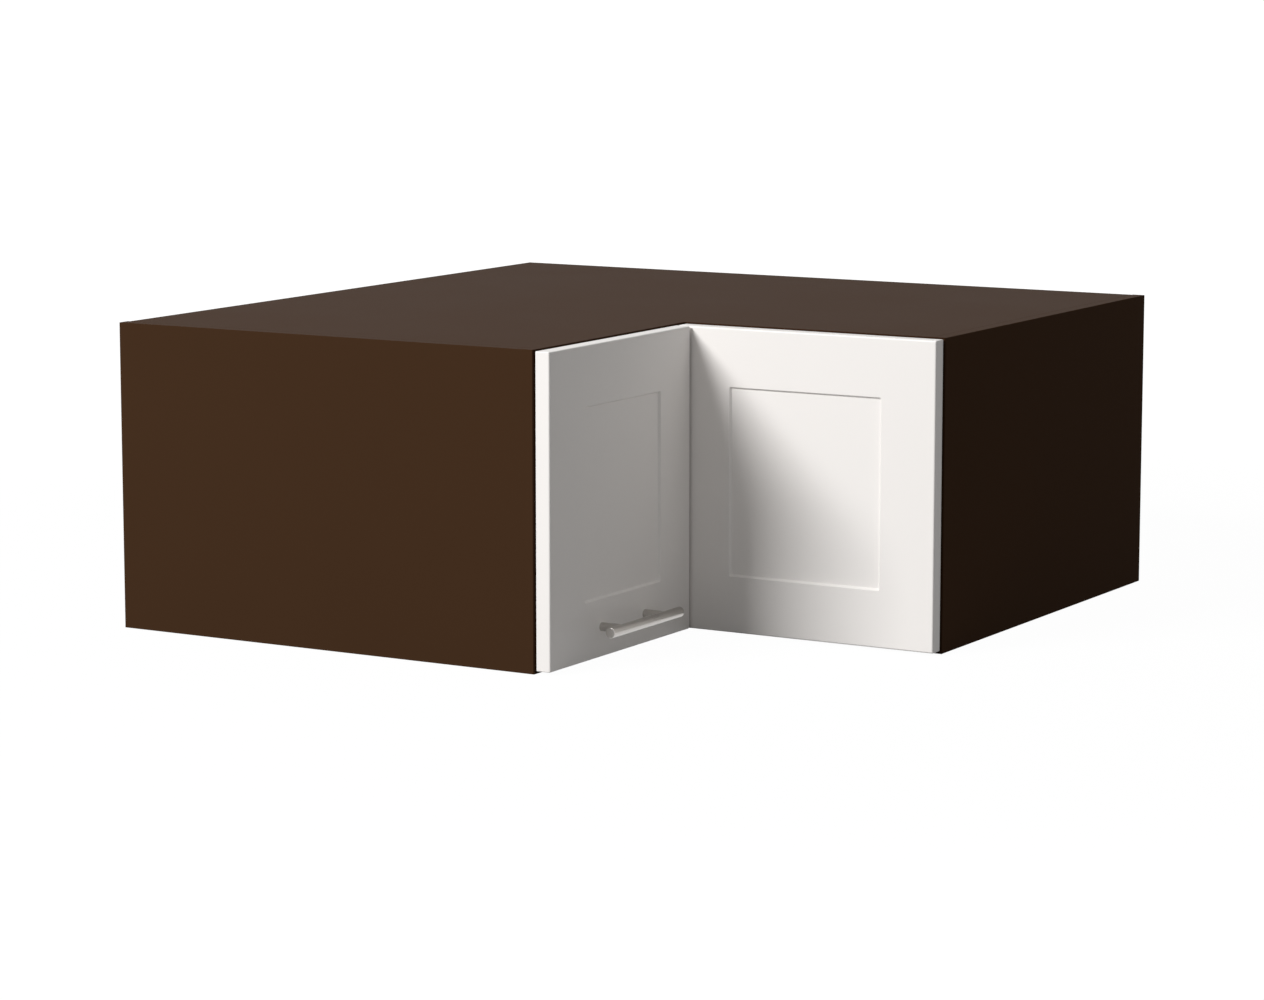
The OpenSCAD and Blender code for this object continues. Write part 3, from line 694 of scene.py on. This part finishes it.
class CarcassLooks(PropertyGroup):
    """Sizes and colours of the boards"""

    melamine: colour_property("Melamine", "Colour of the boards' faces", (0.048, 0.0237, 0.0117))
    band: colour_property("Edge band", "Colour of the front edges", (0.035, 0.0165, 0.0085))
    hardboard: colour_property("Hardboard", "Colour of the backs' outer face", (0.24, 0.15, 0.085))
    chipboard: colour_property("Chipboard", "Colour of the cut rear edges", (0.42, 0.29, 0.17))
    wood: colour_property("Bare wood", "Colour of the corner post", (0.58, 0.40, 0.22))
    roughness: share_property("Roughness", "Roughness of the melamine", 0.4)
    ease: length_property("Eased edge", "Radius of the boards' edges", 0.4 * MM)
    band_ease: length_property("Eased band", "Radius of the edge bands", 0.6 * MM)


class DoorLooks(PropertyGroup):
    """Sizes and colours of the doors"""

    lacquer: colour_property("Lacquer", "Colour of the doors", (0.88, 0.85, 0.823))
    roughness: share_property("Roughness", "Roughness of the lacquer", 0.38)
    edge: length_property("Front edge", "Radius of the front edges", 2 * MM)
    corner: length_property("Corner", "Radius of the door's corners", 1.2 * MM)
    back_edge: length_property("Back edge", "Radius of the back edges", 0.5 * MM)
    frame: length_property("Frame", "Width of the frame beside and above", 68 * MM)
    low_frame: length_property("Low frame", "Width of the frame below", 66 * MM)
    hinge_frame: length_property(
        "Hinge frame", "Width of the left door's frame at its hinges", 74 * MM)
    mill_depth: length_property("Milled depth", "Depth of the milled panel", 3 * MM)
    mill_slope: length_property("Milled slope", "Width of the panel's slope", 2 * MM)
    mill_soft: length_property("Soft corners", "Radius along the slope", 0.7 * MM)
    mill_corner: length_property("Panel corner", "Radius of the panel's corners", 2 * MM)


class HandleLooks(PropertyGroup):
    """Sizes and colours of the handle"""

    metal: colour_property("Metal", "Colour of the handle", (0.50, 0.48, 0.455))
    roughness: share_property("Roughness", "Roughness of the handle", 0.3)
    rim: length_property("Rim", "Radius of the bar's end rims", 0.6 * MM)


class FittingLooks(PropertyGroup):
    """Colours of the hinges, screws and plastic fittings"""

    nickel: colour_property("Nickelled steel", "Colour of the hinges", (0.62, 0.60, 0.57))
    zinc: colour_property("Zinc-plated steel", "Colour of the screws", (0.58, 0.59, 0.60))
    casting: colour_property("Zinc casting", "Colour of the cams", (0.42, 0.42, 0.41))
    plastic: colour_property("Plastic", "Colour of the hanger housings", (0.78, 0.78, 0.75))
    soft: colour_property("Soft plastic", "Colour of the bumpers", (0.72, 0.74, 0.75))
    ease: length_property("Eased edge", "Radius of the pressed steel's edges", 0.25 * MM)


class StageLooks(PropertyGroup):
    """Light and floor"""

    key: strength_property("Key", "Brightness on a white face turned to it", 1.06)
    key_distance: length_property("Key distance", "From the cabinet to the key light", 8.0, least=1)
    key_width: length_property("Key width", "Width of the key light", 3.4)
    key_height: length_property("Key height", "Height of the key light", 1.2)
    fill: strength_property("Fill", "Strength of the room's light", 0.29)
    floor: colour_property("Floor", "Colour of the floor", (0.24, 0.24, 0.24))
    white: strength_property("White", "Strength of the floor's plain white", 1.088)
    white_share: share_property(
        "White share", "Share of plain white near the cabinet; the rest shows its shadow", 0.9)
    shadow_reach: length_property("Shadow reach", "Where the shadow starts to fade", 1.0)
    shadow_end: length_property("Shadow end", "Where the shadow has faded", 4.0)
    floor_radius: length_property("Floor radius", "Radius of the floor", 60.0, least=1)
    rings: IntProperty(name="Floor rings", description="Corners round the floor",
                       default=96, min=8)


def looks(context):
    return context.scene.cabinet_looks


class CabinetLooks(PropertyGroup):
    """Everything about the cabinet's looks"""

    carcass: PointerProperty(name="Carcass", description="The boards", type=CarcassLooks)
    doors: PointerProperty(name="Doors", description="The doors", type=DoorLooks)
    handle: PointerProperty(name="Handle", description="The handle", type=HandleLooks)
    fittings: PointerProperty(name="Fittings", description="The fittings", type=FittingLooks)
    stage: PointerProperty(name="Stage", description="Light and floor", type=StageLooks)


def shared(name, maker, *values):
    """A finish by name, made once."""
    return bpy.data.materials.get(name) or maker(name, *values)


def melamine(context):
    carcass = looks(context).carcass
    return shared("dark melamine", melamine_finish, carcass.melamine, carcass.roughness)


def nickelled(context):
    return shared("nickelled steel", metal_finish, looks(context).fittings.nickel, 0.3,
                  (1, 1, 0.06))


def plated(context):
    return shared("zinc-plated steel", metal_finish, looks(context).fittings.zinc, 0.32,
                  (0.5, 0.5, 0.5))


# Pieces


def pressed(context, node, body, least=4 * MM, scale=1.0):
    """Makes a node's pressed steel pieces; scale widens their eased edges."""
    form = merged(node)
    ease_edges(form, looks(context).fittings.ease * scale, least)
    piece = new_piece(node + "_eased", form, [nickelled(context)])
    give(piece, body, node)


def pins(context, node, body, chamfer):
    """Makes a node's upright pins, with chamfered ends."""
    a, b = solids(node)[0]
    places = [(point, (0, 0, 1)) for point in ends_of(node, 2, False)]
    piece = repeat(node + "_chamfered", pin_tree, places, plated(context),
                   Radius=(b.x - a.x) / 2, Length=b.z - a.z, Chamfer=chamfer)
    give(piece, body, node)


class CABINET_OT_boards(Operator):
    """Dresses the side, top and bottom boards in melamine with eased edges"""

    bl_idname = "cabinet.boards"
    bl_label = "Boards"

    def execute(self, context):
        carcass = looks(context).carcass
        material = melamine(context)
        raw = shared("chipboard edge", chipboard_finish, carcass.chipboard)
        rear = {"left_side_panel": (-1, 0, 0), "right_side_panel": (0, 1, 0)}
        for node in ("left_side_panel", "right_side_panel", "top_panel", "bottom_panel"):
            form = merged(node)
            if node in rear:
                mark(form, rear[node], least=50 * MM * MM)
            ease_edges(form, carcass.ease)
            piece = new_piece(node.replace("panel", "board"), form, [material, raw])
            give(piece, "carcass", node)
        return {"FINISHED"}


class CABINET_OT_edge_bands(Operator):
    """Rounds the edge bands on the boards' front edges"""

    bl_idname = "cabinet.edge_bands"
    bl_label = "Edge bands"

    def execute(self, context):
        carcass = looks(context).carcass
        material = shared("edge band", melamine_finish, carcass.band, 0.42)
        for node in ("side_edge_bands", "left_edge_bands", "right_edge_bands"):
            form = merged(node)
            ease_edges(form, carcass.band_ease, segments=3)
            piece = new_piece(node + "_rounded", form, [material])
            give(piece, "carcass", node)
        return {"FINISHED"}


class CABINET_OT_backs(Operator):
    """Dresses the hardboard backs, dark inside and raw outside, and the corner post"""

    bl_idname = "cabinet.backs"
    bl_label = "Backs and corner post"

    def execute(self, context):
        carcass = looks(context).carcass
        raw = shared("hardboard", hardboard_finish, carcass.hardboard)
        foil = melamine(context)
        inside = {"left_back_panel": (1, 0, 0), "right_back_panel": (0, -1, 0)}
        for node, way in inside.items():
            form = merged(node)
            mark(form, way, least=500 * MM * MM)
            ease_edges(form, width=0.3 * MM, segments=1)
            piece = new_piece(node.replace("panel", "board"), form, [raw, foil])
            give(piece, "carcass", node)
        # The log's heart lies beside the post
        low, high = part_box("corner_post")
        heart = (20 * MM - low.x, -50 * MM - low.y, 0)
        wood = shared("bare wood", wood_finish, carcass.wood, heart)
        form = merged("corner_post")
        ease_edges(form, width=1.0 * MM)
        give(new_piece("corner_post_planed", form, [wood]), "carcass",
             "corner_post")
        dress("dowels", wood)
        return {"FINISHED"}


class CABINET_OT_joinery(Operator):
    """Makes the cams, bolts and back nails"""

    bl_idname = "cabinet.joinery"
    bl_label = "Joinery"

    def execute(self, context):
        casting = shared("zinc casting", casting_finish, looks(context).fittings.casting)
        low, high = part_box("cam_locks")
        middle = (low.z + high.z) / 2
        places = []
        for a, b in solids("cam_locks"):
            centre = (a + b) / 2
            up = centre.z < middle
            places.append((Vector((centre.x, centre.y, b.z if up else a.z)),
                           (0, 0, 1 if up else -1)))
            thickness, radius = b.z - a.z, (b.x - a.x) / 2
        piece = repeat("cams", cam_tree, places, casting,
                       Radius=radius, Thickness=thickness, Bevel=0.4 * MM)
        give(piece, "carcass", "cam_locks")
        steel = plated(context)
        dress("cam_bolts", steel)
        places, length, head = level_heads("back_nails")
        piece = repeat("back_nail_row", nail_tree, places, steel, Head_radius=head,
                       Head_height=head / 2, Shank_radius=head * 0.45, Length=length)
        give(piece, "carcass", "back_nails")
        return {"FINISHED"}


class CABINET_OT_hangers(Operator):
    """Makes the hanger housings with their hooks and screws"""

    bl_idname = "cabinet.hangers"
    bl_label = "Hangers"

    def execute(self, context):
        plastic = shared("white plastic", plastic_finish, looks(context).fittings.plastic, 0.42)
        form = merged("hanger_housings")
        ease_edges(form, width=0.8 * MM, segments=3)
        give(new_piece("hanger_boxes", form, [plastic]), "carcass",
             "hanger_housings")
        pressed(context, "hanger_hooks", "carcass", 3 * MM)
        steel = plated(context)
        thick = 2 * MM
        places, length, head = level_heads("hanger_screws", thick)
        piece = repeat("hanger_screw_set", screw_tree, places, steel, Head_radius=head,
                       Head_height=thick, Shank_radius=head / 2, Shank_length=length - thick)
        give(piece, "carcass", "hanger_screws")
        dress("hanger_adjusters", steel)
        return {"FINISHED"}


class CABINET_OT_cabinet_hinges(Operator):
    """Makes the concealed hinges between the left side panel and the left door"""

    bl_idname = "cabinet.cabinet_hinges"
    bl_label = "Cabinet hinges"

    def execute(self, context):
        bodies = {"hinge_plates": "carcass", "hinge_arms": "carcass",
                  "hinge_outer_links": "outer_links", "hinge_inner_links": "inner_links",
                  "hinge_cups": "left_door_leaf"}
        for node, body in bodies.items():
            pressed(context, node, body)
        pins(context, "hinge_arm_pins", "carcass", chamfer=0.3 * MM)
        pins(context, "hinge_elbow_pins", "outer_links", chamfer=0.3 * MM)
        pins(context, "hinge_cup_pins", "left_door_leaf", chamfer=0.3 * MM)
        return {"FINISHED"}


class CABINET_OT_folding_hinges(Operator):
    """Makes the hinges that join the two doors behind the inner corner"""

    bl_idname = "cabinet.folding_hinges"
    bl_label = "Folding hinges"

    def execute(self, context):
        pressed(context, "fold_hinge_arms", "left_door_leaf", scale=1.6)
        pressed(context, "fold_hinge_cups", "right_door_leaf")
        pins(context, "fold_hinge_pins", "right_door_leaf", chamfer=0.4 * MM)
        return {"FINISHED"}


class CABINET_OT_screws(Operator):
    """Puts crosshead screws into the hinges and the handle"""

    bl_idname = "cabinet.screws"
    bl_label = "Screws"

    def execute(self, context):
        steel = plated(context)
        # node: body, axis, whether the head is at the high end, its height and the shank's
        # radius in millimetres
        sets = {
            "hinge_plate_screws": ("carcass", 1, True, 2.0, 2.5),
            "hinge_arm_screws": ("carcass", 1, True, 2.0, 2.0),
            "hinge_cup_screws": ("left_door_leaf", 0, False, 1.0, 1.75),
            "handle_screws": ("left_door_leaf", 0, False, 2.4, 2.0),
            "fold_arm_screws": ("left_door_leaf", 0, False, 1.6, 1.75),
            "fold_cup_screws": ("right_door_leaf", 1, True, 1.0, 1.75),
        }
        for node, (body, axis, high, head, shank) in sets.items():
            a, b = solids(node)[0]
            way = [0, 0, 0]
            way[axis] = 1 if high else -1
            places = []
            for point in ends_of(node, axis, high):
                point[axis] -= way[axis] * head * MM
                places.append((point, way))
            piece = repeat(node + "_crosshead", screw_tree, places, steel,
                           Head_radius=(b.z - a.z) / 2, Head_height=head * MM,
                           Shank_radius=shank * MM,
                           Shank_length=b[axis] - a[axis] - head * MM)
            give(piece, body, node)
        return {"FINISHED"}


def leaf_profile(doors, thickness):
    """Pairs (inset from the outline, height above the back), from the back to the floor."""
    edge, back, soft = doors.edge, doors.back_edge, doors.mill_soft
    outer = arc((back, back), back, 270, 180, 3)
    outer += arc((edge, thickness - edge), edge, 180, 90, 6)
    depth, slope = doors.mill_depth, doors.mill_slope
    lean = math.degrees(math.atan2(depth, slope))
    tip = soft * math.tan(math.radians(lean / 2))
    top = arc((-tip, thickness - soft), soft, 90, 90 - lean, 3)
    low = arc((slope + tip, thickness - depth + soft), soft, 270 - lean, 270, 3)
    return outer, top + low


def door_leaf(name, size, near_frame, doors, to_place, cups, material):
    """A door with round edges and a milled panel, bored for its hinge cups."""
    width, height, thickness = size
    outer, mill = leaf_profile(doors, thickness)
    form = bmesh.new()
    rings = []

    def ring(low, high, radius, reach):
        points = rounded_rectangle(low, high, radius)
        rings.append([form.verts.new((u, v, reach)) for u, v in points])

    for inset, reach in outer:
        ring((inset, inset), (width - inset, height - inset), doors.corner, reach)
    for inset, reach in mill:
        radius = max(doors.mill_corner - inset, 0.5 * MM)
        ring((near_frame + inset, doors.low_frame + inset),
             (width - doors.frame - inset, height - doors.frame - inset), radius, reach)
    for a, b in zip(rings, rings[1:]):
        for i in range(len(a)):
            j = (i + 1) % len(a)
            form.faces.new((a[i], a[j], b[j], b[i]))
    form.faces.new(rings[0][::-1])
    form.faces.new(rings[-1])
    form.transform(to_place)
    piece = new_piece(name, form, [material], weighted=False, turn_out=True)
    cutter_form = bmesh.new()
    out = to_place.to_3x3().col[2]
    for origin, depth in cups:
        radius = CUP_RADIUS + LOOSE
        turned(cutter_form, [(-1 * MM, radius), (depth, radius)], origin, out, segments=64)
    cutter = new_piece(name + "_cutter", cutter_form, [material], weighted=False,
                       turn_out=True)
    cut = piece.modifiers.new("Cup bores", "BOOLEAN")
    cut.operation = "DIFFERENCE"
    cut.solver = "EXACT"
    cut.object = cutter
    flat = piece.modifiers.new("Flat faces", "WEIGHTED_NORMAL")
    flat.keep_sharp = True
    settle(piece)
    bpy.data.objects.remove(cutter)
    return piece


class CABINET_OT_doors(Operator):
    """Builds the two lacquered doors with their milled panels"""

    bl_idname = "cabinet.doors"
    bl_label = "Doors"

    def execute(self, context):
        doors = looks(context).doors
        lacquer = shared("door lacquer", lacquer_finish, doors.lacquer, doors.roughness)
        # The columns of a matrix: along the door's width, up, and out of its back
        low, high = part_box("left_door")
        to_place = Matrix(((0, 0, 1, low.x), (1, 0, 0, low.y), (0, 1, 0, low.z), (0, 0, 0, 1)))
        size = (high.y - low.y, high.z - low.z, high.x - low.x)
        cups = [((low.x, (a.y + b.y) / 2, (a.z + b.z) / 2), b.x - low.x + LOOSE)
                for a, b in solids("hinge_cups")]
        piece = door_leaf("left_door_leaf_board", size, doors.hinge_frame, doors, to_place,
                          cups, lacquer)
        give(piece, "left_door_leaf", "left_door")
        low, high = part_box("right_door")
        to_place = Matrix(((1, 0, 0, low.x), (0, 0, -1, high.y), (0, 1, 0, low.z), (0, 0, 0, 1)))
        size = (high.x - low.x, *size[1:])
        cups = [((b.x - CUP_RADIUS, high.y, (a.z + b.z) / 2), high.y - a.y + LOOSE)
                for a, b in solids("fold_hinge_cups")]
        piece = door_leaf("right_door_leaf_board", size, doors.frame, doors, to_place,
                          cups, lacquer)
        give(piece, "right_door_leaf", "right_door")
        return {"FINISHED"}


class CABINET_OT_handle(Operator):
    """Turns the bar handle and its posts"""

    bl_idname = "cabinet.handle"
    bl_label = "Handle"

    def execute(self, context):
        handle = looks(context).handle
        bar_metal = shared("brushed handle", metal_finish, handle.metal,
                           handle.roughness, (1, 0.03, 1))
        post_metal = shared("brushed posts", metal_finish, handle.metal,
                            handle.roughness, (0.03, 1, 1))
        low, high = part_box("handle_bar")
        radius, length = (high.z - low.z) / 2, high.y - low.y
        axis_x, axis_z = (low.x + high.x) / 2, (low.z + high.z) / 2
        rim = handle.rim
        profile = [(0, 0)] + arc((rim, radius - rim), rim, 180, 90, 4)
        mirrored = [(length - reach, r) for reach, r in reversed(profile)]
        form = turned(bmesh.new(), profile + mirrored, (axis_x, low.y, axis_z), (0, 1, 0),
                      segments=64)
        give(new_piece("handle_bar_turned", form, [bar_metal], 50, turn_out=True),
             "left_door_leaf", "handle_bar")
        form = bmesh.new()
        for a, b in solids("handle_posts"):
            post, reach = (b.z - a.z) / 2, axis_x - a.x - radius * SUNK
            turned(form, [(0, 0), (0, post), (reach, post), (reach, 0)],
                   (a.x, (a.y + b.y) / 2, axis_z), (1, 0, 0))
        give(new_piece("handle_posts_turned", form, [post_metal], 40, turn_out=True),
             "left_door_leaf", "handle_posts")
        return {"FINISHED"}


class CABINET_OT_bumpers(Operator):
    """Makes the soft bumpers on the right door"""

    bl_idname = "cabinet.bumpers"
    bl_label = "Bumpers"

    def execute(self, context):
        soft = shared("soft plastic", plastic_finish, looks(context).fittings.soft, 0.25)
        form = bmesh.new()
        for a, b in solids("door_bumpers"):
            centre, radius, height = (a + b) / 2, (b.x - a.x) / 2, b.y - a.y
            rise = [(height * math.sin(math.radians(t)),
                     radius * (0.45 + 0.55 * math.cos(math.radians(t))))
                    for t in range(0, 91, 15)]
            profile = [(0, 0)] + rise + [(height, 0)]
            turned(form, profile, (centre.x, a.y, centre.z), (0, 1, 0), segments=40)
        give(new_piece("door_bumper_domes", form, [soft], turn_out=True),
             "right_door_leaf", "door_bumpers")
        return {"FINISHED"}


class CABINET_OT_stage(Operator):
    """Sets up the floor, the lights, the background and the camera"""

    bl_idname = "cabinet.stage"
    bl_label = "Stage"

    def execute(self, context):
        stage = looks(context).stage
        scene = context.scene
        self.camera(scene)
        self.key_light(stage)
        self.world(scene, stage)
        self.floor(stage)
        scene.view_settings.view_transform = "Standard"
        return {"FINISHED"}

    def camera(self, scene):
        data = bpy.data.cameras.new("camera")
        data.sensor_fit = "HORIZONTAL"
        data.sensor_width = SENSOR_WIDTH
        data.lens = SENSOR_WIDTH * FOCAL_PIXELS / PHOTO_PIXELS
        data.clip_end = 200
        camera = linked("camera", data)
        camera.location = CAMERA_AT
        camera.rotation_euler = (math.radians(90 - CAMERA_DOWN), 0, math.radians(CAMERA_LEFT))
        scene.camera = camera

    def key_light(self, stage):
        data = bpy.data.lights.new("key", "AREA")
        data.shape = "RECTANGLE"
        data.size, data.size_y = stage.key_width, stage.key_height
        data.energy = stage.key * math.pi ** 2 * stage.key_distance ** 2
        light = linked("key", data)
        way = Vector(KEY_WAY).normalized()
        light.location = Vector(KEY_AIM) - way * stage.key_distance
        light.rotation_euler = way.to_track_quat("-Z", "Y").to_euler()

    def world(self, scene, stage):
        scene.world = bpy.data.worlds.new("studio")
        scene.world.use_nodes = True
        sky = Nodes(scene.world.node_tree)
        background = sky.tree.nodes["Background"]
        background.inputs["Color"].default_value = (1, 1, 1, 1)
        strength = sky.plain_rays().band(0, 1, stage.fill, 1.0)
        sky.feed(background.inputs["Strength"], strength)

    def floor(self, stage):
        form = bmesh.new()
        bmesh.ops.create_circle(form, cap_ends=True, segments=stage.rings,
                                radius=stage.floor_radius)
        finish = Finish("pale floor", Specular_IOR_Level=0.0)
        finish.drive(Base_Color=full(stage.floor), Roughness=0.9)
        reach = finish.reach(finish.place())
        share = reach.band(stage.shadow_reach, stage.shadow_end, stage.white_share, 1.0)
        share = share * finish.plain_rays()
        white = finish.node("ShaderNodeEmission", None, {"Strength": stage.white})
        surface = finish.node("ShaderNodeMixShader", None,
                              {0: share, 1: Value(finish, finish.shader.outputs[0]), 2: white})
        finish.feed(finish.tree.nodes["Material Output"].inputs["Surface"], surface)
        piece = new_piece("floor", form, [finish.material], weighted=False)


STEPS = (
    CABINET_OT_stage,
    CABINET_OT_boards,
    CABINET_OT_edge_bands,
    CABINET_OT_backs,
    CABINET_OT_joinery,
    CABINET_OT_hangers,
    CABINET_OT_cabinet_hinges,
    CABINET_OT_folding_hinges,
    CABINET_OT_screws,
    CABINET_OT_doors,
    CABINET_OT_handle,
    CABINET_OT_bumpers,
)


class CABINET_PT_panel(Panel):
    """Lists the cabinet's sizes, colours and steps"""

    bl_idname = "CABINET_PT_panel"
    bl_label = "Corner wall cabinet"
    bl_space_type = "VIEW_3D"
    bl_region_type = "UI"
    bl_category = "Cabinet"

    def draw(self, context):
        settings = looks(context)
        for part in ("carcass", "doors", "handle", "fittings", "stage"):
            box = self.layout.box()
            box.label(text=part.capitalize())
            group = getattr(settings, part)
            for key in group.__annotations__:
                box.prop(group, key)
        for step in STEPS:
            self.layout.operator(step.bl_idname)


CLASSES = (CarcassLooks, DoorLooks, HandleLooks, FittingLooks, StageLooks, CabinetLooks,
           *STEPS, CABINET_PT_panel)


def register():
    for each in CLASSES:
        bpy.utils.register_class(each)
    bpy.types.Scene.cabinet_looks = PointerProperty(
        name="Cabinet looks", description="Sizes and colours of the cabinet", type=CabinetLooks)


def unregister():
    del bpy.types.Scene.cabinet_looks
    for each in reversed(CLASSES):
        bpy.utils.unregister_class(each)


def main():
    register()
    for step in STEPS:
        group, name = step.bl_idname.split(".")
        getattr(getattr(bpy.ops, group), name)()


if __name__ == "__main__":
    main()
